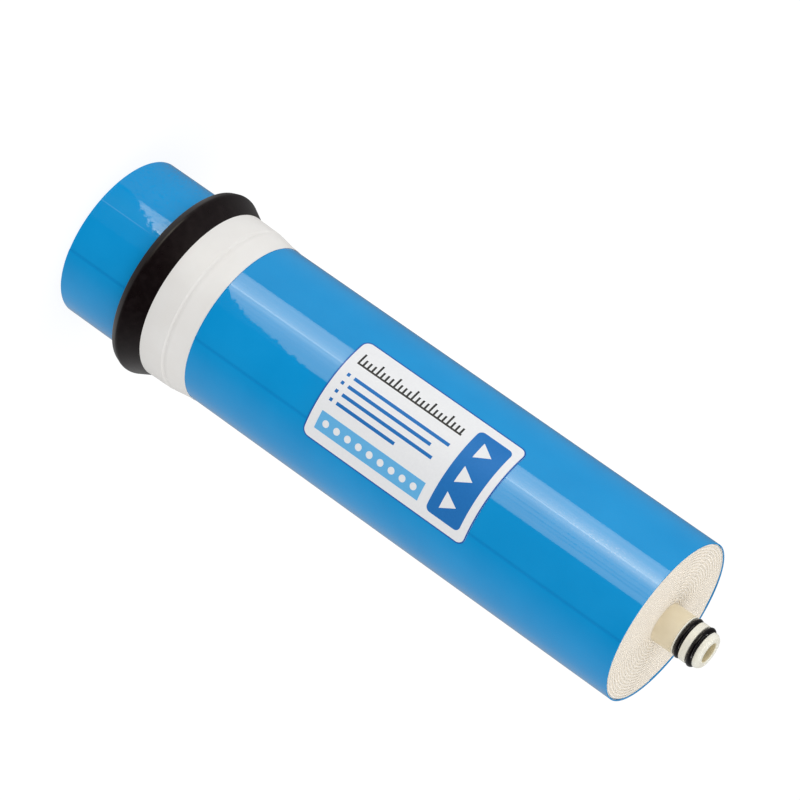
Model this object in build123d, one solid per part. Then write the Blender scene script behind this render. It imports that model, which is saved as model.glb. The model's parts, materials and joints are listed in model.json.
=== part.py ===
"""Spiral-wound reverse-osmosis membrane element, standing on its feed end.

Six glued membrane leaves and six loose feed spacers are rolled together round a
perforated tube and closed by a tape wrap. A lip seal sits near the feed end under a
band of tape, and a spigot with two O-rings carries the product water out of the top.
The axis is +Z, the origin is the centre of the feed end and the label faces -Y.
Lengths are in millimetres, angles in degrees.
"""
import os
from math import acos, ceil, cos, degrees, floor, radians, sin, sqrt

from build123d import *

# Tape wrap: the outside of the element
body_od = 81.3
body_length = 318.0
wrap_wall = 0.6
rim_proud = 0.5

# Product tube
tube_od = 19.05
tube_bore = 13.5
tube_stub = 10.0
tube_feed_recess = 3.4
tube_chamfer = 0.4
perforation_bore = 2.5
perforation_pitch = 32.0
perforation_margin = 40.0

# Plug in the feed end of the tube
plug_head = 2.2
plug_depth = 12.0
plug_dimple_bore = 9.0
plug_dimple_depth = 1.0

# Rolled leaves
leaf_count = 6
carrier_wall = 0.6
envelope_wall = 0.75
spacer_wall = 0.75
sheet_gap = 0.06
spacer_recess = 0.5

# Spigot on the product end of the tube
spigot_length = 13.6
spigot_flange = 0.7
spigot_bore = 9.5
spigot_shank = 16.0
spigot_shank_bore = 10.6
spigot_bore_step = 1.4
spigot_mouth_chamfer = 0.4
groove_width = 3.3
groove_spacing = 6.7
nose_od = 17.4
nose_tip_od = 15.2
nose_chamfer = 1.5

# O-rings
oring_section = 3.0
oring_stand = 0.4

# Lip seal, heights above the wrap
seal_position = 37.2
lip_edge_height = 5.85
lip_edge_face = 1.1
lip_crest_height = 7.2
lip_crest_run = 3.7
lip_crest_radius = 1.4
lip_length = 13.6
groove_root_depth = 9.3
groove_root_height = 2.3
heel_height = 1.5
heel_setback = 4.4
skirt_height = 2.05
skirt_end_height = 1.75
skirt_length = 11.7

# Tape band over the seal's skirt, heights above the wrap
band_wall = 0.25
band_length = 25.5
band_edge_gap = 0.1
band_fall_run = 5.2
band_fall_height = 0.72
band_settle_run = 11.0

# Label
label_length = 92.0
label_width = 53.5
label_position = 142.5
label_wall = 0.1
label_corner = 4.0

# Clearances
seat_gap = 0.05
film_gap = 0.02
overrun = 1.0

body_r = body_od / 2
wrap_bore_r = body_r - wrap_wall
tube_r = tube_od / 2
tube_bore_r = tube_bore / 2
carrier_bore_r = tube_r + seat_gap
carrier_r = carrier_bore_r + carrier_wall
pack_inner_r = carrier_r + seat_gap
pack_outer_r = wrap_bore_r - seat_gap
pack_bottom = rim_proud
pack_top = body_length - rim_proud
tube_bottom = tube_feed_recess
tube_top = body_length + tube_stub
tip = tube_top + spigot_length
oring_r = tube_r + oring_stand
groove_floor_r = oring_r - oring_section - film_gap
first_groove = tube_top + spigot_flange
second_groove = first_groove + groove_spacing
nose_bottom = second_groove + groove_width
skirt_start = seal_position + lip_length
skirt_end = skirt_start + skirt_length


def turned(points):
    """Solid turned about the axis from an outline of (radius, height) points."""
    outline = Plane.XZ * make_face(Polyline(*points, close=True))
    return revolve(outline, Axis.Z)


def ring(outer_r, inner_r, bottom, top):
    """Plain round sleeve between two heights."""
    return turned([(inner_r, bottom), (outer_r, bottom), (outer_r, top), (inner_r, top)])


def shell_wrap():
    """Tape wound round the rolled leaves, its turns bonded into one stiff shell."""
    return ring(body_r, wrap_bore_r, 0, body_length)


def permeate_tube():
    """Tube that carries the product water, with cross-drilled holes along its length."""
    tube = turned([
        (tube_bore_r, tube_bottom),
        (tube_r, tube_bottom),
        (tube_r, tube_top - tube_chamfer),
        (tube_r - tube_chamfer, tube_top),
        (tube_bore_r, tube_top),
    ])
    drill = Rot(90, 0, 0) * Cylinder(perforation_bore / 2, tube_od + overrun)
    drilled_length = body_length - 2 * perforation_margin
    stations = floor(drilled_length / perforation_pitch) + 1
    first = (body_length - (stations - 1) * perforation_pitch) / 2
    for station in range(stations):
        quarter = 90 * (station % 2)
        tube -= Pos(0, 0, first + station * perforation_pitch) * Rot(0, 0, quarter) * drill
    return tube


def tube_plug():
    """Turned plug pressed into the feed end of the tube, with a shallow dimple in its head."""
    stem_r = tube_bore_r - seat_gap
    head_bottom = tube_bottom - seat_gap - plug_head
    return turned([
        (0, head_bottom + plug_dimple_depth),
        (plug_dimple_bore / 2, head_bottom + plug_dimple_depth),
        (plug_dimple_bore / 2, head_bottom),
        (tube_r - tube_chamfer, head_bottom),
        (tube_r, head_bottom + tube_chamfer),
        (tube_r, tube_bottom - seat_gap),
        (stem_r, tube_bottom - seat_gap),
        (stem_r, tube_bottom + plug_depth - tube_chamfer),
        (stem_r - tube_chamfer, tube_bottom + plug_depth),
        (0, tube_bottom + plug_depth),
    ])


def carrier_wrap():
    """Knitted carrier cloth wound on the tube under the leaves."""
    return ring(carrier_r, carrier_bore_r, pack_bottom, pack_top)


# The leaves follow a spiral of tangent arcs. Its centres are the corners of a small
# regular polygon with one corner for each leaf, so each arc spans one leaf's step and is
# one leaf pitch larger than the arc before. The same spiral turned by one step then lies
# exactly one pitch outside the first, and every sheet keeps its thickness all the way.
leaf_step = 360 / leaf_count
leaf_pitch = envelope_wall + spacer_wall + 2 * sheet_gap
centre_r = leaf_pitch / (2 * sin(radians(leaf_step / 2)))
centre_lead = 90 + leaf_step / 2


def polar(radius, angle):
    """Point at a radius and an angle about the axis."""
    return Vector(radius * cos(radians(angle)), radius * sin(radians(angle)))


def crossing(arc_r, index, target_r):
    """Direction in which arc number index, of radius arc_r, crosses a circle about the axis."""
    cosine = (target_r**2 - centre_r**2 - arc_r**2) / (2 * centre_r * arc_r)
    return index * leaf_step + centre_lead - degrees(acos(cosine))


def spiral_edge(offset):
    """Arcs of one face of a sheet, from the carrier wrap out to the tape wrap."""
    start_r = pack_inner_r + offset
    least_r = (sqrt(leaf_pitch**2 + 4 * (pack_inner_r**2 - centre_r**2)) - leaf_pitch) / 2
    index = ceil((least_r - start_r) / leaf_pitch)
    arcs = []
    while True:
        arc_r = start_r + index * leaf_pitch
        near_r = sqrt(centre_r**2 + arc_r**2 - leaf_pitch * arc_r)
        far_r = sqrt(centre_r**2 + arc_r**2 + leaf_pitch * arc_r)
        if near_r >= pack_outer_r:
            return arcs
        start = index * leaf_step
        end = start + leaf_step
        if near_r < pack_inner_r:
            start = crossing(arc_r, index, pack_inner_r)
        if far_r > pack_outer_r:
            end = crossing(arc_r, index, pack_outer_r)
        centre = polar(centre_r, index * leaf_step + centre_lead)
        arcs.append(ThreePointArc(
            centre + polar(arc_r, start),
            centre + polar(arc_r, (start + end) / 2),
            centre + polar(arc_r, end),
        ))
        index += 1


def rim_arc(start, end, radius):
    """Short arc about the axis that closes a sheet against the wrap inside or outside it."""
    middle = (start + end).normalized() * radius
    return ThreePointArc(start, middle, end)


def spiral_sheet(offset, wall, bottom, top):
    """One sheet of the roll, from its inner end on the carrier wrap to its outer end."""
    inner = spiral_edge(offset)
    outer = spiral_edge(offset + wall)
    inner_end = rim_arc(inner[0] @ 0, outer[0] @ 0, pack_inner_r)
    outer_end = rim_arc(inner[-1] @ 1, outer[-1] @ 1, pack_outer_r)
    outline = make_face(Wire([*inner, outer_end, *outer, inner_end]))
    return Pos(0, 0, bottom) * extrude(outline, top - bottom)


def membrane_envelope(leaf):
    """Membrane glued into a flat bag round its carrier cloth, rolled up as one sheet."""
    sheet = spiral_sheet(0, envelope_wall, pack_bottom, pack_top)
    return Rot(0, 0, leaf * leaf_step) * sheet


def feed_spacer(leaf):
    """Loose net that keeps two envelopes apart, cut a little shorter than they are."""
    sheet = spiral_sheet(
        envelope_wall + sheet_gap,
        spacer_wall,
        pack_bottom + spacer_recess,
        pack_top - spacer_recess,
    )
    return Rot(0, 0, leaf * leaf_step) * sheet


def product_spigot():
    """Moulded nose bonded into the tube, with two O-ring grooves and a stepped bore."""
    shank_r = tube_bore_r - seat_gap
    shank_bottom = tube_top - spigot_shank
    bore_r = spigot_bore / 2
    shank_bore_r = spigot_shank_bore / 2
    return turned([
        (shank_bore_r, shank_bottom),
        (shank_r - tube_chamfer, shank_bottom),
        (shank_r, shank_bottom + tube_chamfer),
        (shank_r, tube_top + film_gap),
        (tube_r, tube_top + film_gap),
        (tube_r, first_groove),
        (groove_floor_r, first_groove),
        (groove_floor_r, first_groove + groove_width),
        (tube_r, first_groove + groove_width),
        (tube_r, second_groove),
        (groove_floor_r, second_groove),
        (groove_floor_r, nose_bottom),
        (nose_od / 2, nose_bottom),
        (nose_od / 2, tip - nose_chamfer),
        (nose_tip_od / 2, tip),
        (bore_r + spigot_mouth_chamfer, tip),
        (bore_r, tip - spigot_mouth_chamfer),
        (bore_r, tube_top),
        (shank_bore_r, tube_top - spigot_bore_step),
    ])


def o_ring(groove_bottom):
    """O-ring seated in the middle of its groove, standing a little proud of the tube."""
    section_r = oring_section / 2
    centre_height = groove_bottom + groove_width / 2
    return Pos(0, 0, centre_height) * Torus(oring_r - section_r, section_r)


def brine_seal():
    """Rubber lip seal: the lip opens towards the feed end, the skirt lies on the wrap."""
    edge_r = body_r + lip_edge_height
    outline = Plane.XZ * make_face(Polyline(
        (body_r + seat_gap, seal_position + heel_setback),
        (body_r + heel_height, seal_position + heel_setback),
        (body_r + heel_height, seal_position + groove_root_depth),
        (body_r + groove_root_height, seal_position + groove_root_depth),
        (edge_r - lip_edge_face, seal_position),
        (edge_r, seal_position),
        (body_r + lip_crest_height, seal_position + lip_crest_run),
        (body_r + skirt_height, skirt_start),
        (body_r + skirt_end_height, skirt_end),
        (body_r + seat_gap, skirt_end),
        close=True,
    ))
    crest = outline.vertices().sort_by(Axis.X)[-1]
    return revolve(fillet(crest, lip_crest_radius), Axis.Z)


def band_line(rise):
    """One face of the tape band, a rise above what it lies on, from seal to wrap."""
    base_r = body_r + rise
    settled = skirt_end + band_settle_run
    fall = Spline(
        (base_r + skirt_end_height, skirt_end),
        (base_r + band_fall_height, skirt_end + band_fall_run),
        (base_r, settled),
        tangents=[(skirt_end_height - skirt_height, skirt_length), (0, 1)],
    )
    return [
        Line((base_r + skirt_height, skirt_start + band_edge_gap), fall @ 0),
        fall,
        Line(fall @ 1, (base_r, skirt_start + band_length)),
    ]


def seal_band():
    """Band of tape that holds the seal's skirt down and laps onto the wrap."""
    inner = band_line(film_gap)
    outer = band_line(film_gap + band_wall)
    ends = [Line(inner[0] @ 0, outer[0] @ 0), Line(inner[-1] @ 1, outer[-1] @ 1)]
    outline = Plane.XZ * make_face(Wire([*inner, *outer, *ends]))
    return revolve(outline, Axis.Z)


def label():
    """Rounded sheet stuck round the front of the wrap."""
    inner_r = body_r + film_gap
    outer_r = inner_r + label_wall
    half_angle = degrees(label_width / 2 / outer_r)
    chord = 2 * outer_r * sin(radians(half_angle))
    sleeve = ring(outer_r, inner_r, label_position, label_position + label_length)
    blank = RectangleRounded(chord, label_length, label_corner)
    centre = Plane.XZ * Pos(0, label_position + label_length / 2, 0)
    return sleeve & extrude(centre * blank, body_od)


parts = {
    "shell_wrap": shell_wrap(),
    "permeate_tube": permeate_tube(),
    "tube_plug": tube_plug(),
    "carrier_wrap": carrier_wrap(),
    "product_spigot": product_spigot(),
    "o_ring_inner": o_ring(first_groove),
    "o_ring_outer": o_ring(second_groove),
    "brine_seal": brine_seal(),
    "seal_band": seal_band(),
    "label": label(),
}
for leaf in range(leaf_count):
    parts[f"membrane_envelope_{leaf + 1}"] = membrane_envelope(leaf)
    parts[f"feed_spacer_{leaf + 1}"] = feed_spacer(leaf)

os.makedirs("parts", exist_ok=True)
for node, shape in parts.items():
    export_step(shape, f"parts/{node}.step")
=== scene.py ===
"""Dresses the reverse-osmosis membrane element, and lights and frames it as in the photograph.

Sizes are in millimetres and angles in degrees until they reach Blender. Heights are above
the feed end. An angle round the body is 0 at the label and grows towards +X.
"""
import json
import math

import bmesh
import bpy
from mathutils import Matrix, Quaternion, Vector

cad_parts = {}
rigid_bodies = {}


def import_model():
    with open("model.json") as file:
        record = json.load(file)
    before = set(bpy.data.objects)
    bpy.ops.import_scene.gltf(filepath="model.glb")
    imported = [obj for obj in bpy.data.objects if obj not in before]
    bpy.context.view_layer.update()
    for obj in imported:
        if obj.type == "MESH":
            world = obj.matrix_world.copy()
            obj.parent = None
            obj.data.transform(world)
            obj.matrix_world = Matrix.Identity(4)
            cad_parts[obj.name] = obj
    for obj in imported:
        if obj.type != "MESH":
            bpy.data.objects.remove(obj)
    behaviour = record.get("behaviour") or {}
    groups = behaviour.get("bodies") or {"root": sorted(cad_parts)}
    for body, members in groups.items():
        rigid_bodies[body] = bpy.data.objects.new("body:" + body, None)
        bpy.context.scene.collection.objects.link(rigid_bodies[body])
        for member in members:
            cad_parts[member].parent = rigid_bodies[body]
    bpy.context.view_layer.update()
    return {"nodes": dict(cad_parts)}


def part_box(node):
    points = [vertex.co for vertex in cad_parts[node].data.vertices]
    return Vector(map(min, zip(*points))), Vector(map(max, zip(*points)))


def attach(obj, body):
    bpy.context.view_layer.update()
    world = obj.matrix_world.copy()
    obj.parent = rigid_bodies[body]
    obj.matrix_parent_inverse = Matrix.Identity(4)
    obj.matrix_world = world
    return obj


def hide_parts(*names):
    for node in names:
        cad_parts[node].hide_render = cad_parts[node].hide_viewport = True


MM = 0.001
FULL_TURN = 2 * math.pi
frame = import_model()


def reach(node):
    """Outer radius of a round CAD node."""
    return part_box(node)[1].x / MM


def foot(node):
    """Height of a CAD node's lower end."""
    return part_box(node)[0].z / MM


def head(node):
    """Height of a CAD node's upper end."""
    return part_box(node)[1].z / MM


# Sizes shared with the solids
BODY_R = reach("shell_wrap")
BODY_LENGTH = head("shell_wrap")
WRAP_WALL = 0.6
TUBE_R = reach("permeate_tube")
TUBE_TOP = head("permeate_tube")
LEAF_COUNT = 6
LEAF_PITCH = 1.62
SHEET_WALL = 0.75
SHEET_GAP = 0.06
ROLL_INNER_R = 10.225
# The roll's arcs span one leaf's step each, about the corners of a small polygon
LEAF_STEP = FULL_TURN / LEAF_COUNT
ARC_CENTRE_R = LEAF_PITCH / (2 * math.sin(LEAF_STEP / 2))

# Camera, fitted to the outlines of the body in the photograph. The clip limits are in metres
VIEW_AZIMUTH = 1.80
VIEW_ELEVATION = 22.07
VIEW_ROLL = 125.09
VIEW_DISTANCE = 1720.6
VIEW_AIM = (-12.5, 0.0, 158.4)
LENS = 174.66
SENSOR = 36.0
CLIP_NEAR = 0.01
CLIP_FAR = 100.0

# Meshing
TURN_STEPS = 192
SMOOTH_ANGLE = 35
CORNER_SEGMENTS = 4
POINT_REACH = 0.01
MERGE_REACH = 0.002


def deselect():
    bpy.ops.object.select_all(action="DESELECT")


def finish_piece(piece, name, finish, node=None):
    """Names a finished piece, gives it its material and lets it ride on the element."""
    piece.name = name
    piece.data.name = name
    piece.data.materials.append(finish)
    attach(piece, "root")
    if node:
        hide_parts(node)
    return piece


def select_near(piece, points):
    """In edit mode, selects only the vertices that lie at the given points."""
    bpy.ops.mesh.select_all(action="DESELECT")
    mesh = bmesh.from_edit_mesh(piece.data)
    for vertex in mesh.verts:
        near = (vertex.co - Vector(point) * MM for point in points)
        vertex.select = any(gap.length < POINT_REACH * MM for gap in near)
    mesh.select_flush_mode()
    bmesh.update_edit_mesh(piece.data)


def traced(outline):
    """Object in edit mode with an outline of (radius, height) points drawn in the XZ plane.

    A point may have a third number, the size of the rounding of that corner.
    """
    deselect()
    bpy.ops.mesh.primitive_plane_add(size=MM)
    piece = bpy.context.object
    bpy.ops.object.mode_set(mode="EDIT")
    bpy.ops.mesh.merge(type="CENTER")
    bpy.ops.transform.translate(value=(outline[0][0] * MM, 0, outline[0][1] * MM))
    for start, end in zip(outline, outline[1:]):
        step = ((end[0] - start[0]) * MM, 0, (end[1] - start[1]) * MM)
        bpy.ops.mesh.extrude_vertices_move(TRANSFORM_OT_translate={"value": step})
    bpy.ops.mesh.select_all(action="SELECT")
    bpy.ops.mesh.edge_face_add()
    for size in sorted({point[2] for point in outline if len(point) > 2}):
        corners = [(p[0], 0, p[1]) for p in outline if len(p) > 2 and p[2] == size]
        select_near(piece, corners)
        bpy.ops.mesh.bevel(offset=size * MM, segments=CORNER_SEGMENTS, affect="VERTICES")
    return piece


def spun(outline, steps=TURN_STEPS, angle=FULL_TURN):
    """Object whose outline is turned about the axis, closed where the turn is a full one."""
    piece = traced(outline)
    bpy.ops.mesh.select_all(action="SELECT")
    bpy.ops.mesh.delete(type="ONLY_FACE")
    bpy.ops.mesh.select_all(action="SELECT")
    bpy.ops.mesh.spin(steps=steps, angle=angle, center=(0, 0, 0), axis=(0, 0, 1))
    bpy.ops.mesh.select_all(action="SELECT")
    bpy.ops.mesh.remove_doubles(threshold=MERGE_REACH * MM)
    bpy.ops.mesh.normals_make_consistent(inside=False)
    bpy.ops.object.mode_set(mode="OBJECT")
    bpy.ops.object.shade_smooth_by_angle(angle=math.radians(SMOOTH_ANGLE))
    return piece


# Materials
def linear(red, green, blue):
    """Colour as Blender takes it, from the 0 to 255 values of the photograph."""
    def channel(value):
        share = value / 255
        return share / 12.92 if share <= 0.04045 else ((share + 0.055) / 1.055) ** 2.4
    return (channel(red), channel(green), channel(blue), 1.0)


def surface(name, colour, roughness):
    """New material with a plain colour and roughness, which its finish may then vary."""
    material = bpy.data.materials.new(name)
    material.use_nodes = True
    shader = material.node_tree.nodes["Principled BSDF"]
    shader.inputs["Base Color"].default_value = linear(*colour)
    shader.inputs["Roughness"].default_value = roughness
    return material, shader


def add_node(tree, kind, inputs=(), **settings):
    """Adds a node, with its settings and with values or links for its first inputs."""
    made = tree.nodes.new(kind)
    for key, value in settings.items():
        setattr(made, key, value)
    for socket, value in zip(made.inputs, inputs):
        if isinstance(value, bpy.types.NodeSocket):
            tree.links.new(value, socket)
        elif value is not None:
            socket.default_value = value
    return made


def maths(tree, operation, *inputs):
    return add_node(tree, "ShaderNodeMath", inputs, operation=operation).outputs[0]


def plus(tree, first, second):
    return maths(tree, "ADD", first, second)


def minus(tree, first, second):
    return maths(tree, "SUBTRACT", first, second)


def times(tree, first, second):
    return maths(tree, "MULTIPLY", first, second)


def away(tree, value, line):
    """How far a value lies from a line, on either side of it."""
    return maths(tree, "ABSOLUTE", minus(tree, value, line))


def flat_length(tree, x, y):
    """Length of a flat vector."""
    return maths(tree, "SQRT", plus(tree, times(tree, x, x), times(tree, y, y)))


def place(tree, stretch=(1, 1, 1)):
    """The point on the piece in metres, stretched along its axes."""
    point = add_node(tree, "ShaderNodeTexCoord").outputs["Object"]
    mapping = add_node(tree, "ShaderNodeMapping", [point])
    mapping.inputs["Scale"].default_value = stretch
    return mapping.outputs[0]


def noise(tree, grain, stretch=(1, 1, 1), detail=3.0, rough=0.5):
    """Noise whose patches are about grain millimetres across."""
    made = add_node(tree, "ShaderNodeTexNoise", [place(tree, stretch)])
    made.inputs["Scale"].default_value = 1 / (grain * MM)
    made.inputs["Detail"].default_value = detail
    made.inputs["Roughness"].default_value = rough
    return made.outputs[0]


def spread(tree, value, low, high, to_low=0.0, to_high=1.0):
    """Maps a value's range to another, cut off at its ends."""
    made = add_node(tree, "ShaderNodeMapRange", [value, low, high, to_low, to_high])
    return made.outputs[0]


def ramp(tree, value, stops):
    """Piecewise straight curve through (place, height) stops."""
    low, high = stops[0][0], stops[-1][0]
    least = min(height for _, height in stops)
    most = max(height for _, height in stops)
    share = spread(tree, value, low, high)
    made = add_node(tree, "ShaderNodeValToRGB", [share])
    elements = made.color_ramp.elements
    while len(elements) < len(stops):
        elements.new(0.5)
    for element, (at, height) in zip(elements, stops):
        element.position = (at - low) / (high - low)
        element.color = ((height - least) / (most - least),) * 3 + (1.0,)
    return spread(tree, made.outputs["Color"], 0.0, 1.0, least, most)


def mixed(tree, factor, first, second):
    """Colour between two others, each a colour or a socket."""
    made = add_node(tree, "ShaderNodeMix", data_type="RGBA")
    sockets = (made.inputs[0], made.inputs[6], made.inputs[7])
    for socket, value in zip(sockets, (factor, first, second)):
        if isinstance(value, bpy.types.NodeSocket):
            tree.links.new(value, socket)
        else:
            socket.default_value = value
    return made.outputs[2]


def set_colour(material, shader, colour):
    material.node_tree.links.new(colour, shader.inputs["Base Color"])


def set_roughness(material, shader, value):
    material.node_tree.links.new(value, shader.inputs["Roughness"])


def set_relief(material, shader, height, depth):
    """Bump whose full height is depth millimetres."""
    tree = material.node_tree
    bump = add_node(tree, "ShaderNodeBump")
    bump.inputs["Strength"].default_value = 1.0
    bump.inputs["Distance"].default_value = depth * MM
    tree.links.new(height, bump.inputs["Height"])
    tree.links.new(bump.outputs[0], shader.inputs["Normal"])


def specks(tree, cell, radius, share):
    """1 on a few dust specks: in a share of cells of the given size, a dot of the radius."""
    dots = add_node(tree, "ShaderNodeTexVoronoi", [place(tree)])
    dots.inputs["Scale"].default_value = 1 / (cell * MM)
    near = maths(tree, "LESS_THAN", dots.outputs["Distance"], radius / cell)
    chosen = maths(tree, "LESS_THAN", dots.outputs["Color"], share)
    return times(tree, near, chosen)


# Where the film is dull: the angle at which its haze starts, by height, and where it ends
HAZE_SIDE = (
    (0, -28.0), (9, -26.8), (15, -24.6), (18, -21.5), (22, -20.0), (26, -16.5), (34, -14.0),
    (40, -13.0), (76, -13.0), (79, -10.0), (82, -7.5), (86, -5.8), (92, -4.4), (98, -3.2),
    (108, -2.4), (114, -1.2), (120, -0.2), (132, 2.0), (140, 6.0),
)
HAZE_FAR_SIDE = (16, 40)
HAZE_TOP = (132, 140)
FLECK_TOP = (26, 42)
SCRATCH_ANGLE = -11.3
SCRATCH_HALF = (0.1, 0.5)
SCRATCH_END = (24, 32)
# Creases of the clear film along the body: angle, and the height from which it shows
CREASES = ((-8.2, 222), (-5.4, 236), (-3.2, 250))
CREASE_HALF = (0.06, 0.26)
CREASE_DRIFT = 0.3
CREASE_RUN = 25
# A pale rubbed band near the product end, which also paints sheen round the softbox's highlight
# line: its angle, half width, and the heights over which it comes in
SCUFF_SHEEN_ANGLE = -15.6
SCUFF_SHEEN_SPAN = 6.0
SCUFF_SHEEN_START = (236, 290)
# Half widths in degrees of the painted shade along the lapped edge: where it is full, and where it
# has faded
LAP_SHADE_HALF = (0.2, 1.6)


def angle_round(tree):
    """Angle round the body in degrees, and height in millimetres."""
    split = add_node(tree, "ShaderNodeSeparateXYZ", [place(tree)])
    ahead = times(tree, split.outputs[1], -1)
    angle = maths(tree, "DEGREES", maths(tree, "ARCTAN2", split.outputs[0], ahead))
    return angle, maths(tree, "DIVIDE", split.outputs[2], MM)


def film_haze(tree, angle, height):
    """Dull haze near the feed end, where the clear film lies looser, with a ragged edge."""
    teeth = minus(tree, noise(tree, 2.1, detail=6, rough=0.72), 0.5)
    jag = times(tree, teeth, spread(tree, height, 40, 80, 24, 12))
    jag = times(tree, jag, spread(tree, height, 6, 24, 0.25, 1.0))
    side = plus(tree, ramp(tree, height, HAZE_SIDE), jag)
    past = spread(tree, minus(tree, angle, side), -0.15, 0.15)
    flecks = spread(tree, noise(tree, 1.5, detail=4, rough=0.7), 0.53, 0.62)
    flecks = times(tree, flecks, spread(tree, height, *FLECK_TOP, 0.8, 0.0))
    past = maths(tree, "MAXIMUM", past, flecks)
    far_side = spread(tree, angle, *HAZE_FAR_SIDE, 1.0, 0.0)
    top = spread(tree, height, *HAZE_TOP, 1.0, 0.0)
    return times(tree, past, times(tree, far_side, top))


def film_creases(tree, angle, height):
    """Fine lines along the body where the clear film is creased and doesn't shine."""
    marks = None
    drift = spread(tree, noise(tree, 60, detail=1), 0.3, 0.7, -CREASE_DRIFT, CREASE_DRIFT)
    for line, start in CREASES:
        off = away(tree, plus(tree, angle, drift), line)
        mark = spread(tree, off, *CREASE_HALF, 1.0, 0.0)
        mark = times(tree, mark, spread(tree, height, start, start + CREASE_RUN, 0.0, 0.75))
        marks = mark if marks is None else maths(tree, "MAXIMUM", marks, mark)
    return marks


def film_scuffs_and_sheen(tree, angle, height):
    """Pale rubbed band near the product end, with stronger flecks and painted sheen round the
    highlight.
    """
    band = spread(tree, away(tree, angle, SCUFF_SHEEN_ANGLE), 0, SCUFF_SHEEN_SPAN, 1.0, 0.0)
    band = times(tree, band, spread(tree, height, *SCUFF_SHEEN_START))
    grain = noise(tree, 0.9, stretch=(1, 1, 0.6), detail=5, rough=0.75)
    return times(tree, band, spread(tree, grain, 0.54, 0.66, 0.34, 0.85))


def film_tone(tree, angle, height):
    """The tape's blue, with painted shade at the lap line, dust, a scratch and the scuffs' painted
    sheen.
    """
    patches = noise(tree, 30, detail=5)
    blue = linear(10, 142, 206), linear(19, 148, 212)
    tone = mixed(tree, spread(tree, patches, 0.3, 0.7), *blue)
    # Painted shade along the lapped edge of the last turn, darkening the blue there
    lap = spread(tree, away(tree, angle, LAP_ANGLE), *LAP_SHADE_HALF, 0.4, 0.0)
    tone = mixed(tree, lap, tone, linear(8, 116, 184))
    tone = mixed(tree, specks(tree, 14, 0.16, 0.12), tone, linear(190, 215, 235))
    scratch = spread(tree, away(tree, angle, SCRATCH_ANGLE), *SCRATCH_HALF, 1.0, 0.0)
    scratch = times(tree, scratch, spread(tree, height, *SCRATCH_END, 0.3, 0.0))
    tone = mixed(tree, scratch, tone, linear(120, 178, 222))
    # The rubbed band at half strength: its pale colour is wear and a painted sheen round the
    # highlight line
    scuffs_and_sheen = times(tree, film_scuffs_and_sheen(tree, angle, height), 0.5)
    return mixed(tree, scuffs_and_sheen, tone, linear(196, 216, 232))


def film_finish():
    """Blue tape under a clear glossy film that is drawn along the body, with its wear."""
    material, shader = surface("blue_film", (14, 145, 210), 0.5)
    tree = material.node_tree
    shader.inputs["Specular IOR Level"].default_value = 0.0
    shader.inputs["Coat IOR"].default_value = 1.5
    shader.inputs["Coat Roughness"].default_value = 0.045
    angle, height = angle_round(tree)
    set_colour(material, shader, film_tone(tree, angle, height))
    drawn = noise(tree, 1.1, stretch=(1, 1, 0.012), detail=3)
    set_roughness(material, shader, spread(tree, drawn, 0.35, 0.65, 0.45, 0.6))
    haze = film_haze(tree, angle, height)
    haze = maths(tree, "MAXIMUM", haze, film_creases(tree, angle, height))
    tree.links.new(spread(tree, haze, 0.0, 1.0, 1.0, 0.06), shader.inputs["Coat Weight"])
    waves = noise(tree, 9, stretch=(1, 1, 0.3), detail=2)
    scuffs = noise(tree, 0.6, stretch=(1, 1, 0.4), detail=2)
    worn = spread(tree, height, 120, BODY_LENGTH, 0.02, 0.1)
    relief = plus(tree, times(tree, drawn, 0.2), waves)
    relief = plus(tree, relief, times(tree, scuffs, worn))
    set_relief(material, shader, relief, 0.011)
    tree.links.new(shader.inputs["Normal"].links[0].from_socket, shader.inputs["Coat Normal"])
    return material


def rubber_finish(name, colour, roughness, grain, shine, depth, dust):
    """Moulded black rubber with a fine dull grain, and dust on a share of its area."""
    material, shader = surface(name, colour, roughness)
    shader.inputs["Specular IOR Level"].default_value = shine
    tree = material.node_tree
    bloom = noise(tree, grain * 6, detail=6)
    pale = tuple(channel + 10 for channel in colour)
    tone = mixed(tree, spread(tree, bloom, 0.45, 0.8), linear(*colour), linear(*pale))
    if dust:
        tone = mixed(tree, specks(tree, 7, 0.14, dust), tone, linear(150, 145, 145))
    set_colour(material, shader, tone)
    dulled = spread(tree, bloom, 0.3, 0.7, roughness - 0.02, roughness + 0.03)
    set_roughness(material, shader, dulled)
    set_relief(material, shader, noise(tree, grain, detail=4), depth)
    return material


def tape_finish():
    """White vinyl tape, satin, with faint creases round the body."""
    material, shader = surface("white_tape", (229, 227, 224), 0.45)
    shader.inputs["Specular IOR Level"].default_value = 0.25
    tree = material.node_tree
    cloud = noise(tree, 14, detail=5)
    set_colour(material, shader, mixed(tree, cloud, linear(225, 222, 218), linear(234, 233, 231)))
    creases = noise(tree, 5, stretch=(0.25, 0.25, 1), detail=3)
    set_relief(material, shader, creases, 0.05)
    return material


def plastic_finish(name, colour, warm, roughness):
    """Moulded plastic, satin, with a warm cloudiness and faint turning marks."""
    material, shader = surface(name, colour, roughness)
    tree = material.node_tree
    cloud = noise(tree, 9, detail=4)
    tone = mixed(tree, spread(tree, cloud, 0.3, 0.75), linear(*colour), linear(*warm))
    set_colour(material, shader, tone)
    rings = noise(tree, 0.8, stretch=(0.05, 0.05, 1), detail=2)
    set_relief(material, shader, rings, 0.01)
    return material


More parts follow.
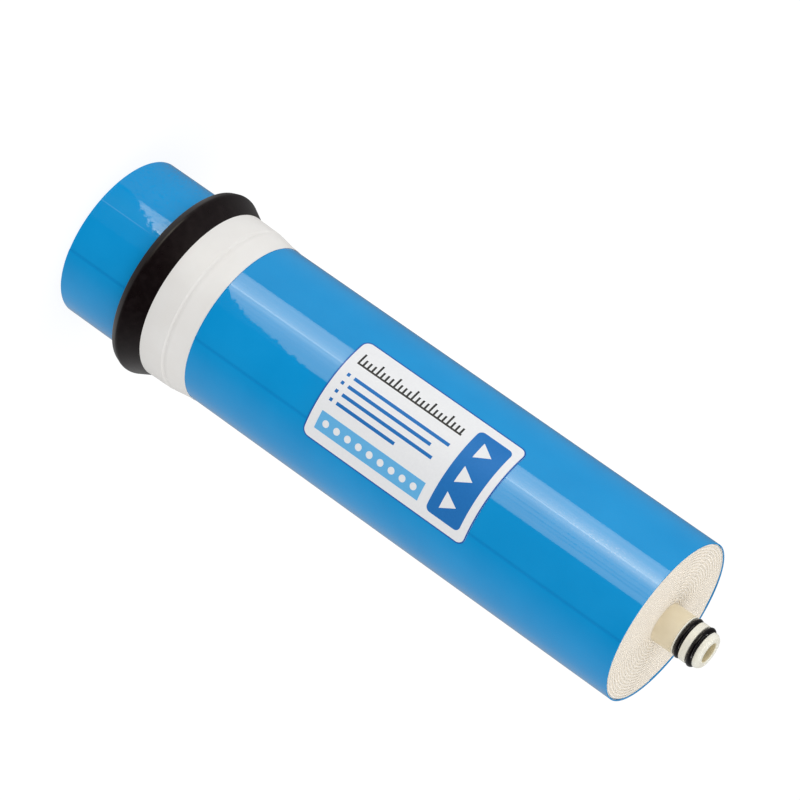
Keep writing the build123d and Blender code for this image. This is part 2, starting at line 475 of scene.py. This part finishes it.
def nose_finish(colour, warm, bore):
    """The nose's plastic, yellower down its bore."""
    material = plastic_finish("spigot_plastic", colour, warm, 0.34)
    tree = material.node_tree
    shader = tree.nodes["Principled BSDF"]
    outside = shader.inputs["Base Color"].links[0].from_socket
    split = add_node(tree, "ShaderNodeSeparateXYZ", [place(tree, (1 / MM, 1 / MM, 0))])
    radius = flat_length(tree, split.outputs[0], split.outputs[1])
    inside = spread(tree, radius, SPIGOT_BORE_R + 0.05, SPIGOT_BORE_R + MOUTH_CHAMFER, 1.0, 0.0)
    set_colour(material, shader, mixed(tree, inside, outside, linear(*bore)))
    return material


def paper_finish():
    """Coated white label stock."""
    material, shader = surface("label_stock", (232, 233, 235), 0.5)
    shader.inputs["Specular IOR Level"].default_value = 0.3
    tree = material.node_tree
    fibre = noise(tree, 1.2, detail=5)
    set_colour(material, shader, mixed(tree, fibre, linear(228, 229, 231), linear(236, 237, 239)))
    set_relief(material, shader, noise(tree, 4, detail=3), 0.015)
    return material


def ink_finish(name, colour):
    """Printed ink, a little uneven in density."""
    material, shader = surface(name, colour, 0.45)
    shader.inputs["Specular IOR Level"].default_value = 0.3
    tree = material.node_tree
    pale = tuple(min(255, channel + 10) for channel in colour)
    density = noise(tree, 0.9, detail=4)
    set_colour(material, shader, mixed(tree, density, linear(*colour), linear(*pale)))
    return material


def roll_depth(tree):
    """How far a point of the roll lies into its leaf's pitch, from 0 to 1.

    The point's sector gives the centre of its arc, and the distance from there the depth.
    """
    split = add_node(tree, "ShaderNodeSeparateXYZ", [place(tree, (1 / MM,) * 3)])
    x, y = split.outputs[0], split.outputs[1]
    offset = ARC_CENTRE_R * math.cos(LEAF_STEP / 2)
    lead = maths(tree, "ARCSINE", maths(tree, "DIVIDE", offset, flat_length(tree, x, y)))
    turn = minus(tree, maths(tree, "ARCTAN2", y, x), lead)
    sector = maths(tree, "FLOOR", maths(tree, "DIVIDE", turn, LEAF_STEP))
    corner = maths(tree, "MULTIPLY_ADD", sector, LEAF_STEP, math.pi / 2 + LEAF_STEP / 2)
    across = minus(tree, x, times(tree, maths(tree, "COSINE", corner), ARC_CENTRE_R))
    along = minus(tree, y, times(tree, maths(tree, "SINE", corner), ARC_CENTRE_R))
    depth = minus(tree, flat_length(tree, across, along), ROLL_INNER_R)
    return maths(tree, "FRACT", maths(tree, "DIVIDE", depth, LEAF_PITCH))


def envelope_finish():
    """Cut edge of a membrane leaf: two pressed sheets with the carrier cloth between them."""
    material, shader = surface("membrane_edge", (240, 231, 217), 0.75)
    tree = material.node_tree
    depth = times(tree, roll_depth(tree), LEAF_PITCH / SHEET_WALL)
    core = spread(tree, away(tree, depth, 0.5), 0.10, 0.20, 1.0, 0.0)
    fibres = noise(tree, 0.35, detail=5)
    tone = mixed(tree, fibres, linear(236, 227, 214), linear(246, 239, 228))
    tone = mixed(tree, times(tree, core, 0.2), tone, linear(226, 214, 195))
    set_colour(material, shader, tone)
    set_relief(material, shader, minus(tree, fibres, times(tree, core, 0.4)), 0.04)
    return material


def spacer_finish():
    """Off-white net between two leaves, painted lighter to offset the shade in its recess."""
    material, shader = surface("spacer_net", (236, 227, 211), 0.6)
    tree = material.node_tree
    grain = noise(tree, 0.7, detail=3)
    # Lighter than the leaves: painted light against the shade of the recess between them
    set_colour(material, shader, mixed(tree, grain, linear(250, 242, 229), linear(255, 253, 246)))
    set_relief(material, shader, grain, 0.08)
    return material


def cloth_finish():
    """Cream knitted cloth on the tube."""
    material, shader = surface("carrier_cloth", (233, 224, 209), 0.85)
    tree = material.node_tree
    knit = noise(tree, 0.5, detail=3)
    set_colour(material, shader, mixed(tree, knit, linear(216, 205, 186), linear(241, 233, 219)))
    set_relief(material, shader, knit, 0.1)
    return material


# Body
LAP_ANGLE = 27.0
LAP_STEP = 0.12
LAP_RUN = 0.35
LAP_SMOOTH_ANGLE = 8
LAP_TOLERANCE = 0.01
WRAP_STEPS = 288
RIM_ROUNDING = 0.1


def tape_wrap(finish):
    """The wrap as one wound shell, with the lapped edge of its last turn down one side."""
    inner_r = BODY_R - WRAP_WALL
    outline = [
        (inner_r, 0.0),
        (BODY_R, 0.0, RIM_ROUNDING),
        (BODY_R, BODY_LENGTH, RIM_ROUNDING),
        (inner_r, BODY_LENGTH),
    ]
    gap = math.radians(LAP_RUN)
    piece = spun(outline, WRAP_STEPS, FULL_TURN - gap)
    bpy.ops.object.mode_set(mode="EDIT")
    bpy.ops.mesh.select_all(action="SELECT")
    start = math.radians(LAP_ANGLE - 90)
    bpy.ops.transform.rotate(value=-start, orient_axis="Z", center_override=(0, 0, 0))
    bpy.ops.object.mode_set(mode="OBJECT")
    edge = math.degrees(math.atan2(piece.data.vertices[0].co.y, piece.data.vertices[0].co.x))
    lap = piece.vertex_groups.new(name="lap")
    for vertex in piece.data.vertices:
        angle = math.degrees(math.atan2(vertex.co.y, vertex.co.x))
        done = ((edge - angle + LAP_TOLERANCE) % 360) / 360
        if vertex.co.xy.length > (inner_r + WRAP_WALL / 3) * MM:
            lap.add([vertex.index], 1 - done, "REPLACE")
    displace = piece.modifiers.new("lap", "DISPLACE")
    displace.vertex_group = "lap"
    displace.direction = "NORMAL"
    displace.mid_level = 0.0
    displace.strength = -LAP_STEP * MM
    bpy.ops.object.modifier_apply(modifier="lap")
    bpy.ops.object.mode_set(mode="EDIT")
    bpy.ops.mesh.select_all(action="DESELECT")
    bpy.ops.mesh.select_mode(type="EDGE")
    bpy.ops.mesh.select_non_manifold(extend=False)
    bpy.ops.mesh.bridge_edge_loops()
    bpy.ops.mesh.select_all(action="SELECT")
    bpy.ops.mesh.normals_make_consistent(inside=False)
    bpy.ops.mesh.select_mode(type="VERT")
    bpy.ops.object.mode_set(mode="OBJECT")
    bpy.ops.object.shade_smooth_by_angle(angle=math.radians(LAP_SMOOTH_ANGLE))
    piece.vertex_groups.clear()
    return finish_piece(piece, "tape_wrap", finish, "shell_wrap")


# Lip seal, heights above the wrap
SEAL_FOOT = foot("brine_seal")
SEAL_HEAD = head("brine_seal")
SEAL_GAP = 0.05
LIP_EDGE_HEIGHT = 5.85
LIP_EDGE_FACE = 1.1
LIP_CREST_HEIGHT = 7.2
LIP_CREST_RUN = 3.7
LIP_LENGTH = 13.6
GROOVE_ROOT_DEPTH = 9.3
GROOVE_ROOT_HEIGHT = 2.3
HEEL_HEIGHT = 1.5
HEEL_SETBACK = 4.4
SKIRT_HEIGHT = 2.05
SKIRT_END_HEIGHT = 1.75
HEEL_ROUNDING = 0.3
LIP_ROUNDING = 0.25
LIP_EDGE_ROUNDING = 0.35
CREST_ROUNDING = 1.0
SKIRT_ROUNDING = 0.2


def lip_seal(finish):
    """The moulded rubber seal, with rounded lip edges."""
    outline = [
        (BODY_R + SEAL_GAP, SEAL_FOOT + HEEL_SETBACK),
        (BODY_R + HEEL_HEIGHT, SEAL_FOOT + HEEL_SETBACK, HEEL_ROUNDING),
        (BODY_R + HEEL_HEIGHT, SEAL_FOOT + GROOVE_ROOT_DEPTH, HEEL_ROUNDING),
        (BODY_R + GROOVE_ROOT_HEIGHT, SEAL_FOOT + GROOVE_ROOT_DEPTH, HEEL_ROUNDING),
        (BODY_R + LIP_EDGE_HEIGHT - LIP_EDGE_FACE, SEAL_FOOT, LIP_ROUNDING),
        (BODY_R + LIP_EDGE_HEIGHT, SEAL_FOOT, LIP_EDGE_ROUNDING),
        (BODY_R + LIP_CREST_HEIGHT, SEAL_FOOT + LIP_CREST_RUN, CREST_ROUNDING),
        (BODY_R + SKIRT_HEIGHT, SEAL_FOOT + LIP_LENGTH),
        (BODY_R + SKIRT_END_HEIGHT, SEAL_HEAD, SKIRT_ROUNDING),
        (BODY_R + SEAL_GAP, SEAL_HEAD),
    ]
    return finish_piece(spun(outline), "lip_seal", finish, "brine_seal")


# Tape band over the skirt
BAND_FOOT = foot("seal_band")
BAND_HEAD = head("seal_band")
BAND_WALL = 0.25
BAND_GAP = 0.02
BAND_SLACK = 0.02
BAND_RIDGE = 64.2
BAND_RIDGE_DROP = 0.8
BAND_RIDGE_RUN = 1.0
BAND_RIDGE_RETURN = 0.42
BAND_FALL_END = 75.4
BAND_FALL_STEPS = 10
BAND_FALL_POWER = 1.2
BAND_ROUNDING = 0.1


def band_heights():
    """(height above the wrap, height above the feed end) along the band, from seal to wrap."""
    yield SKIRT_HEIGHT, BAND_FOOT
    yield SKIRT_END_HEIGHT, SEAL_HEAD
    yield SKIRT_END_HEIGHT - BAND_SLACK, BAND_RIDGE - BAND_RIDGE_RUN / 2
    trough = SKIRT_END_HEIGHT - BAND_RIDGE_DROP
    yield trough + BAND_RIDGE_DROP * 0.12, BAND_RIDGE + BAND_RIDGE_RUN * 0.3
    yield trough, BAND_RIDGE + BAND_RIDGE_RUN * 0.6
    top = trough + BAND_RIDGE_RETURN
    start = BAND_RIDGE + 1.8 * BAND_RIDGE_RUN
    for step in range(BAND_FALL_STEPS + 1):
        done = step / BAND_FALL_STEPS
        yield top * (1 - done) ** BAND_FALL_POWER, start + done * (BAND_FALL_END - start)
    yield 0.0, BAND_HEAD


def tape_band(finish):
    """White tape over the seal's skirt, stepped down at the skirt's end and laid on the wrap."""
    path = list(band_heights())
    inner = [(BODY_R + BAND_GAP + rise, height) for rise, height in path]
    outer = [(r + BAND_WALL, height) for r, height in inner]
    outer[0] = (*outer[0], BAND_ROUNDING)
    outer[-1] = (*outer[-1], BAND_ROUNDING)
    piece = spun([*inner, *reversed(outer)])
    return finish_piece(piece, "tape_band", finish, "seal_band")


# Label
LABEL_FOOT = foot("label")
LABEL_HEAD = head("label")
LABEL_R = -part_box("label")[0].y / MM
LABEL_WALL = 0.1
LABEL_CORNER = 4.0
LABEL_HALF_ANGLE = math.asin(reach("label") / LABEL_R)
LABEL_WIDTH = 2 * LABEL_R * LABEL_HALF_ANGLE
LABEL_LENGTH = LABEL_HEAD - LABEL_FOOT
INK_WALL = 0.015
BORDER = 0.65
COLUMN = 0.9
PLATE_CORNER_SEGMENTS = 8
DISC_CORNERS = 48

# Printed fields. A place is the distance up the label, then the distance across it from its
# left edge, and a size is the length up the label, then the width across it
BORDER_LAYER, GROUND_LAYER, FIELD_LAYER, MARK_LAYER = 1, 2, 3, 4
FIELD_START = 5
FIELD_LENGTH = 59
BLOCK_PLACE = (69, 5)
BLOCK_SIZE = (18.5, 43.5)
BLOCK_CORNER = 2.5
HEAD_ALONG = 77.0
HEADS_ACROSS = (13.5, 26.75, 40)
HEAD_R = 4.8
BAR_ACROSS = 38.5
BAR_WIDTH = 9
DOT_COUNT = 9
DOT_START = 9.5
DOT_PITCH = 6.25
DOT_ACROSS = 43
DOT_R = 1.7
SCALE_ACROSS = 12.0
SCALE_LINE = 0.9
TICK_COUNT = 24
TICK_PITCH = 2.5
TICK_WIDTH = 1.0
TICK_HEIGHT = 3.0
LONG_TICK_EVERY = 4
LONG_TICK_HEIGHT = 5.2
RULE_LENGTHS = (54, 47, 51, 33)
RULE_START = 9
RULES_ACROSS = 18.5
RULE_PITCH = 4.4
RULE_WIDTH = 1.6


def flat_plate(along, across, length, width, corner=0.0):
    """Flat rectangle of the artwork, placed by its corner that is lowest and furthest left.

    along runs up the body, and across runs round it from the label's left edge towards +X.
    """
    deselect()
    bpy.ops.mesh.primitive_plane_add(size=1, rotation=(math.pi / 2, 0, 0))
    plate = bpy.context.object
    plate.scale = (width * MM, length * MM, 1)
    plate.location = (
        (across + width / 2 - LABEL_WIDTH / 2) * MM,
        0,
        (LABEL_FOOT + along + length / 2) * MM,
    )
    bpy.ops.object.transform_apply(location=True, rotation=True, scale=True)
    if corner:
        bpy.ops.object.mode_set(mode="EDIT")
        bpy.ops.mesh.select_all(action="SELECT")
        bpy.ops.mesh.bevel(
            offset=corner * MM, segments=PLATE_CORNER_SEGMENTS, affect="VERTICES"
        )
        bpy.ops.object.mode_set(mode="OBJECT")
    return plate


def flat_disc(along, across, radius, corners=DISC_CORNERS):
    """Flat disc, or polygon of few corners, about its centre."""
    deselect()
    bpy.ops.mesh.primitive_circle_add(
        vertices=corners, radius=radius * MM, fill_type="NGON", rotation=(math.pi / 2, 0, 0)
    )
    disc = bpy.context.object
    disc.location = ((across - LABEL_WIDTH / 2) * MM, 0, (LABEL_FOOT + along) * MM)
    bpy.ops.object.transform_apply(location=True, rotation=True, scale=True)
    return disc


def joined(plates):
    """Joins flat plates into one object."""
    deselect()
    for plate in plates:
        plate.select_set(True)
    bpy.context.view_layer.objects.active = plates[0]
    if len(plates) > 1:
        bpy.ops.object.join()
    return plates[0]


def wrapped(plates, depth, wall):
    """Thickens flat plates outwards, cuts them into columns and bends them round the body.

    depth is how far their back lies outside the label's own back.
    """
    piece = joined(plates)
    bpy.ops.object.mode_set(mode="EDIT")
    columns = math.ceil(LABEL_WIDTH / COLUMN)
    for column in range(1, columns):
        cut = (column / columns - 0.5) * LABEL_WIDTH * MM
        bpy.ops.mesh.select_all(action="SELECT")
        bpy.ops.mesh.bisect(plane_co=(cut, 0, 0), plane_no=(1, 0, 0))
    bpy.ops.mesh.select_all(action="SELECT")
    bpy.ops.mesh.extrude_region_move(TRANSFORM_OT_translate={"value": (0, -wall * MM, 0)})
    bpy.ops.mesh.select_all(action="SELECT")
    bpy.ops.transform.translate(value=(0, -depth * MM, 0))
    bpy.ops.mesh.normals_make_consistent(inside=False)
    bpy.ops.object.mode_set(mode="OBJECT")
    back_r = (LABEL_R - LABEL_WALL) * MM
    for vertex in piece.data.vertices:
        angle = vertex.co.x / (LABEL_R * MM)
        radius = back_r - vertex.co.y
        vertex.co = (radius * math.sin(angle), -radius * math.cos(angle), vertex.co.z)
    return piece


def label_stock(finish):
    """The label's own sheet."""
    sheet = wrapped([flat_plate(0, 0, LABEL_LENGTH, LABEL_WIDTH, LABEL_CORNER)], 0, LABEL_WALL)
    return finish_piece(sheet, "label_stock", finish, "label")


def artwork(stock, dark, light, black, edging):
    """Plain printed fields: border, dotted bar, scale, ruled lines and a block of arrowheads."""
    def printed(name, plates, ink, layer):
        piece = wrapped(plates, LABEL_WALL + (layer - 1) * INK_WALL, INK_WALL)
        return finish_piece(piece, name, ink)

    outside = flat_plate(0, 0, LABEL_LENGTH, LABEL_WIDTH, LABEL_CORNER)
    printed("print_border", [outside], edging, BORDER_LAYER)
    ground_size = (LABEL_LENGTH - 2 * BORDER, LABEL_WIDTH - 2 * BORDER)
    inside = flat_plate(BORDER, BORDER, *ground_size, LABEL_CORNER - BORDER)
    printed("print_ground", [inside], stock, GROUND_LAYER)
    block = flat_plate(*BLOCK_PLACE, *BLOCK_SIZE, BLOCK_CORNER)
    printed("print_block", [block], dark, FIELD_LAYER)
    heads = [flat_disc(HEAD_ALONG, across, HEAD_R, 3) for across in HEADS_ACROSS]
    printed("print_arrowheads", heads, stock, MARK_LAYER)
    bar = flat_plate(FIELD_START, BAR_ACROSS, FIELD_LENGTH, BAR_WIDTH)
    printed("print_bar", [bar], light, FIELD_LAYER)
    dots_along = [DOT_START + DOT_PITCH * count for count in range(DOT_COUNT)]
    dots = [flat_disc(along, DOT_ACROSS, DOT_R) for along in dots_along]
    printed("print_dots", dots, stock, MARK_LAYER)
    ticks = [flat_plate(FIELD_START, SCALE_ACROSS, FIELD_LENGTH, SCALE_LINE)]
    for count in range(TICK_COUNT):
        tall = LONG_TICK_HEIGHT if count % LONG_TICK_EVERY == 0 else TICK_HEIGHT
        along = FIELD_START + TICK_PITCH * count
        ticks.append(flat_plate(along, SCALE_ACROSS - tall, TICK_WIDTH, tall))
    printed("print_scale", ticks, black, FIELD_LAYER)
    rules = []
    for count, length in enumerate(RULE_LENGTHS):
        across = RULES_ACROSS + RULE_PITCH * count
        rules.append(flat_plate(FIELD_START, across, RULE_WIDTH, RULE_WIDTH))
        rules.append(flat_plate(RULE_START, across, length, RULE_WIDTH))
    printed("print_rules", rules, dark, FIELD_LAYER)


# Spigot
SPIGOT_FOOT = foot("product_spigot")
SPIGOT_TIP = head("product_spigot")
SHANK_R = 6.7
SHANK_BORE_R = 5.3
SPIGOT_BORE_R = 4.75
BORE_STEP = 1.4
FLANGE = 0.7
FLANGE_GAP = 0.02
GROOVE_FLOOR_R = 6.905
GROOVE_WIDTH = 3.3
GROOVE_SPACING = 6.7
NOSE_R = 8.7
NOSE_TIP_R = 7.6
NOSE_CHAMFER = 1.5
MOUTH_CHAMFER = 0.4
FLANGE_ROUNDING = 0.12
GROOVE_ROUNDING = 0.2
LAND_ROUNDING = 0.25
NOSE_ROUNDING = 0.5
TIP_ROUNDING = 0.4
MOUTH_ROUNDING = 0.15
SPIGOT_STEPS = 96
RING_STEPS = 128
RING_POINTS = 28
RING_FLASH = 0.04


def spigot(finish):
    """The moulded nose, with rounded lands and a rounded mouth."""
    first = TUBE_TOP + FLANGE
    second = first + GROOVE_SPACING
    outline = [
        (SHANK_BORE_R, SPIGOT_FOOT),
        (SHANK_R - MOUTH_CHAMFER, SPIGOT_FOOT),
        (SHANK_R, SPIGOT_FOOT + MOUTH_CHAMFER),
        (SHANK_R, TUBE_TOP + FLANGE_GAP),
        (TUBE_R, TUBE_TOP + FLANGE_GAP, FLANGE_ROUNDING),
        (TUBE_R, first, FLANGE_ROUNDING),
        (GROOVE_FLOOR_R, first, GROOVE_ROUNDING),
        (GROOVE_FLOOR_R, first + GROOVE_WIDTH, GROOVE_ROUNDING),
        (TUBE_R, first + GROOVE_WIDTH, LAND_ROUNDING),
        (TUBE_R, second, LAND_ROUNDING),
        (GROOVE_FLOOR_R, second, GROOVE_ROUNDING),
        (GROOVE_FLOOR_R, second + GROOVE_WIDTH, GROOVE_ROUNDING),
        (NOSE_R, second + GROOVE_WIDTH, GROOVE_ROUNDING),
        (NOSE_R, SPIGOT_TIP - NOSE_CHAMFER, NOSE_ROUNDING),
        (NOSE_TIP_R, SPIGOT_TIP, TIP_ROUNDING),
        (SPIGOT_BORE_R + MOUTH_CHAMFER, SPIGOT_TIP, MOUTH_ROUNDING),
        (SPIGOT_BORE_R, SPIGOT_TIP - MOUTH_CHAMFER, MOUTH_ROUNDING),
        (SPIGOT_BORE_R, TUBE_TOP),
        (SHANK_BORE_R, TUBE_TOP - BORE_STEP),
    ]
    piece = spun(outline, SPIGOT_STEPS)
    return finish_piece(piece, "spigot_nose", finish, "product_spigot")


def o_ring(node, finish):
    """O-ring turned from its round section, with the fine flash line of its mould."""
    section_r = (head(node) - foot(node)) / 2
    height = (head(node) + foot(node)) / 2
    centre_r = reach(node) - section_r
    outline = []
    for point in range(RING_POINTS):
        angle = FULL_TURN * point / RING_POINTS
        proud = RING_FLASH if point == 0 else 0
        radius = section_r - RING_FLASH + proud
        outline.append((centre_r + radius * math.cos(angle), height + radius * math.sin(angle)))
    piece = spun(outline, RING_STEPS)
    return finish_piece(piece, node.replace("o_ring", "rubber_ring"), finish, node)


def dress_node(node, finish):
    """Gives a CAD node that shows as it is its own finish."""
    shape = frame["nodes"][node]
    shape.data.materials.clear()
    shape.data.materials.append(finish)


# Net strands
STRAND_R = 0.17
STRAND_LIFT = 0.48
STRAND_OFFSET = 0.19
STRAND_PITCH = 1.25
STRAND_ARCS = 18
STRAND_SIDES = 6
STRAND_LIMIT_R = BODY_R - WRAP_WALL - 0.08


def net_ends(leaf, finish):
    """Cut strand ends of one leaf's feed spacer, in two staggered rows, at both ends of the roll.

    The rows follow the same arcs as the spacer: each has its centre on the next corner of the
    polygon, and is one leaf pitch larger than the arc before.
    """
    row_r = ROLL_INNER_R + 1.5 * SHEET_WALL + SHEET_GAP
    turn = (leaf - 1) * LEAF_STEP

    def corner(arc):
        angle = turn + arc * LEAF_STEP + math.pi / 2 + LEAF_STEP / 2
        return Vector((ARC_CENTRE_R * math.cos(angle), ARC_CENTRE_R * math.sin(angle), 0)) * MM

    deselect()
    levels = (head("feed_spacer_1"), foot("feed_spacer_1"))
    stub = None
    for side, offset in ((0, STRAND_OFFSET), (0.5, -STRAND_OFFSET)):
        angle = turn + side * STRAND_PITCH / row_r
        outwards = Vector((math.cos(angle), math.sin(angle), 0))
        centre = corner(0) + outwards * (row_r + offset) * MM
        for level in levels:
            bpy.ops.mesh.primitive_cylinder_add(
                vertices=STRAND_SIDES, radius=STRAND_R * MM, depth=2 * STRAND_LIFT * MM,
                location=(centre.x, centre.y, level * MM),
            )
            if stub:
                stub.select_set(True)
                bpy.context.view_layer.objects.active = stub
                bpy.ops.object.join()
            stub = bpy.context.object
    bpy.ops.object.transform_apply(location=True, rotation=True, scale=True)
    bpy.ops.object.mode_set(mode="EDIT")
    bpy.ops.mesh.select_all(action="SELECT")
    for arc in range(STRAND_ARCS):
        length = LEAF_STEP * (row_r + arc * LEAF_PITCH)
        copies = round(length / STRAND_PITCH)
        bpy.ops.mesh.spin(
            steps=copies, angle=-LEAF_STEP, dupli=True, center=corner(arc), axis=(0, 0, 1)
        )
    bpy.ops.mesh.select_all(action="DESELECT")
    mesh = bmesh.from_edit_mesh(stub.data)
    for vertex in mesh.verts:
        vertex.select = vertex.co.xy.length > STRAND_LIMIT_R * MM
    mesh.select_flush_mode()
    bmesh.update_edit_mesh(stub.data)
    bpy.ops.mesh.select_linked()
    bpy.ops.mesh.delete(type="VERT")
    bpy.ops.object.mode_set(mode="OBJECT")
    return finish_piece(stub, f"net_ends_{leaf}", finish)


# Stage. Distances here are in metres
FLOOR_SIZE = 16.0
FLOOR_SHADE = (132, 132, 132)
FLOOR_GLOW = 0.82
FILL = 0.84
# Radiance that the gloss mirrors, by compass direction. The other limits are elevations
SURROUNDINGS = (
    (-180, 0.22), (-150, 0.19), (-120, 0.30), (-92, 0.38), (-72, 0.50), (-54, 0.55), (0, 0.05),
    (58, 0.05), (78, 0.27), (98, 0.45), (118, 0.50), (145, 0.50), (180, 0.35),
)
ROOM_FADE = (0, 20)
MIRRORED_FLOOR = 0.75
MIRRORED_FLOOR_TOP = (-45, -38)
STRIP_LOW = 50
STRIP_HIGH = 53
STRIP_PEAK = 6.0
SOFTBOX_PEAK = 10.6
SOFTBOX_FOOT = (-42, -33)
SOFTBOX_TOP = (-12, -6)
SOFTBOX_TINT = (1.0, 0.965, 0.8, 1.0)
SOFTBOX = (
    (-54.0, 0.0), (-53.2, 0.30), (-42, 0.40), (-38, 0.47), (-34, 0.55), (-32.4, 0.58),
    (-31.4, 1.0), (-30.4, 0.56), (-28, 0.46), (-25, 0.38), (-22, 0.32), (-18, 0.275),
    (-10, 0.235), (0.2, 0.235), (1.0, 0.0),
)
# Azimuth, elevation, distance, width, height and radiance of each lamp. The key is broad, and
# low so that the feed end has its share
LAMPS = {
    "key": (-70, 15, 1.6, 1.4, 1.4, 1.15),
    "front": (15, 30, 1.8, 1.2, 1.2, 0.42),
    "top": (80, 72, 1.6, 0.7, 0.7, 2.6),
}


def floor():
    """Pale floor that shows as white round the part and keeps its soft shadow."""
    deselect()
    bpy.ops.mesh.primitive_plane_add(size=FLOOR_SIZE)
    ground = bpy.context.object
    ground.name = "floor"
    material, shader = surface("floor_paint", FLOOR_SHADE, 0.9)
    tree = material.node_tree
    shader.inputs["Specular IOR Level"].default_value = 0.0
    seen = add_node(tree, "ShaderNodeLightPath").outputs["Is Camera Ray"]
    glow = times(tree, seen, FLOOR_GLOW)
    shader.inputs["Emission Color"].default_value = (1, 1, 1, 1)
    tree.links.new(glow, shader.inputs["Emission Strength"])
    ground.data.materials.append(material)
    ground.visible_glossy = False
    ground.visible_diffuse = False
    ground.visible_shadow = False


def mirrored_room(tree, compass, over):
    """What the gloss mirrors by direction: the room and its floor, a strip light and a softbox."""
    room = times(tree, ramp(tree, compass, SURROUNDINGS), spread(tree, over, *ROOM_FADE, 1.0, 0.5))
    below = spread(tree, over, *MIRRORED_FLOOR_TOP, MIRRORED_FLOOR, 0.0)
    streaks = add_node(tree, "ShaderNodeTexNoise", noise_dimensions="1D")
    tree.links.new(compass, streaks.inputs["W"])
    streaks.inputs["Scale"].default_value = 0.7
    streaks.inputs["Detail"].default_value = 3
    shade = spread(tree, streaks.outputs[0], 0.3, 0.7, 0.72, 1.12)
    top = spread(tree, over, *SOFTBOX_TOP, SOFTBOX_PEAK, 0.0)
    lit = times(tree, top, spread(tree, over, *SOFTBOX_FOOT))
    box = times(tree, ramp(tree, compass, SOFTBOX), times(tree, lit, shade))
    strip = times(tree, spread(tree, over, STRIP_LOW - 1, STRIP_LOW, 0.0, STRIP_PEAK),
                  spread(tree, over, STRIP_HIGH, STRIP_HIGH + 1, 1.0, 0.0))
    return plus(tree, plus(tree, room, below), plus(tree, box, strip)), box


def studio():
    """White to the camera, an even fill on the part, and a room with a softbox in its gloss."""
    world = bpy.data.worlds.new("studio")
    bpy.context.scene.world = world
    world.use_nodes = True
    tree = world.node_tree
    background = tree.nodes["Background"]
    path = add_node(tree, "ShaderNodeLightPath")
    direction = add_node(tree, "ShaderNodeTexCoord").outputs["Generated"]
    split = add_node(tree, "ShaderNodeSeparateXYZ", [direction])
    ahead = times(tree, split.outputs[1], -1)
    compass = maths(tree, "DEGREES", maths(tree, "ARCTAN2", split.outputs[0], ahead))
    over = maths(tree, "DEGREES", maths(tree, "ARCSINE", split.outputs[2]))
    gloss, box = mirrored_room(tree, compass, over)
    glossy = path.outputs["Is Glossy Ray"]
    dull = times(tree, minus(tree, 1, glossy), FILL)
    light = plus(tree, times(tree, glossy, gloss), dull)
    seen = path.outputs["Is Camera Ray"], path.outputs["Is Transmission Ray"]
    strength = maths(tree, "MAXIMUM", light, maths(tree, "MAXIMUM", *seen))
    tree.links.new(strength, background.inputs["Strength"])
    warm = times(tree, glossy, spread(tree, box, 0.0, 1.0))
    tint = mixed(tree, warm, (1, 1, 1, 1), SOFTBOX_TINT)
    tree.links.new(tint, background.inputs["Color"])


def heading(azimuth, elevation):
    """Direction from the part, as the camera's angles give it."""
    a, e = math.radians(azimuth), math.radians(elevation)
    return Vector((math.sin(a) * math.cos(e), -math.cos(a) * math.cos(e), math.sin(e)))


def lamp(name, azimuth, elevation, distance, width, height, radiance):
    """Rectangular lamp aimed at the middle of the part. A radiance of 1 is a white surface."""
    data = bpy.data.lights.new(name, "AREA")
    data.shape = "RECTANGLE"
    data.size, data.size_y = width, height
    data.energy = radiance * math.pi * width * height
    made = bpy.data.objects.new(name, data)
    bpy.context.scene.collection.objects.link(made)
    middle = Vector((0, 0, BODY_LENGTH / 2 * MM))
    back = heading(azimuth, elevation)
    made.location = middle + back * distance
    made.rotation_mode = "QUATERNION"
    made.rotation_quaternion = (-back).to_track_quat("-Z", "Y")
    made.visible_camera = False
    made.visible_glossy = False


def camera():
    """Camera at its fitted place, with the roll of the photograph."""
    data = bpy.data.cameras.new("camera")
    data.lens = LENS
    data.sensor_width = SENSOR
    data.clip_start = CLIP_NEAR
    data.clip_end = CLIP_FAR
    made = bpy.data.objects.new("camera", data)
    bpy.context.scene.collection.objects.link(made)
    back = heading(VIEW_AZIMUTH, VIEW_ELEVATION)
    made.location = Vector(VIEW_AIM) * MM + back * VIEW_DISTANCE * MM
    made.rotation_mode = "QUATERNION"
    upright = (-back).to_track_quat("-Z", "Y")
    made.rotation_quaternion = upright @ Quaternion((0, 0, 1), math.radians(VIEW_ROLL))
    bpy.context.scene.camera = made


bpy.context.scene.view_settings.view_transform = "Standard"
camera()
studio()
floor()
for name, values in LAMPS.items():
    lamp(name, *values)

tape_wrap(film_finish())
lip_seal(rubber_finish("seal_rubber", (16, 8, 9), 0.29, 0.5, 0.2, 0.006, 0.1))
tape_band(tape_finish())
stock = paper_finish()
label_stock(stock)
artwork(stock, ink_finish("dark_ink", (8, 104, 178)), ink_finish("light_ink", (92, 172, 222)),
        ink_finish("black_ink", (24, 24, 28)), ink_finish("edge_ink", (8, 82, 164)))
spigot(nose_finish((235, 234, 224), (229, 224, 206), (216, 204, 168)))
rings = rubber_finish("ring_rubber", (5, 3, 5), 0.08, 0.4, 0.3, 0.002, 0.0)
for node in ("o_ring_inner", "o_ring_outer"):
    o_ring(node, rings)
dress_node("permeate_tube", plastic_finish("tube_plastic", (232, 220, 192), (222, 208, 177), 0.4))
dress_node("tube_plug", plastic_finish("plug_plastic", (226, 219, 199), (218, 208, 186), 0.42))
dress_node("carrier_wrap", cloth_finish())
envelope, spacer = envelope_finish(), spacer_finish()
for leaf in range(1, LEAF_COUNT + 1):
    dress_node(f"membrane_envelope_{leaf}", envelope)
    dress_node(f"feed_spacer_{leaf}", spacer)
    net_ends(leaf, spacer)
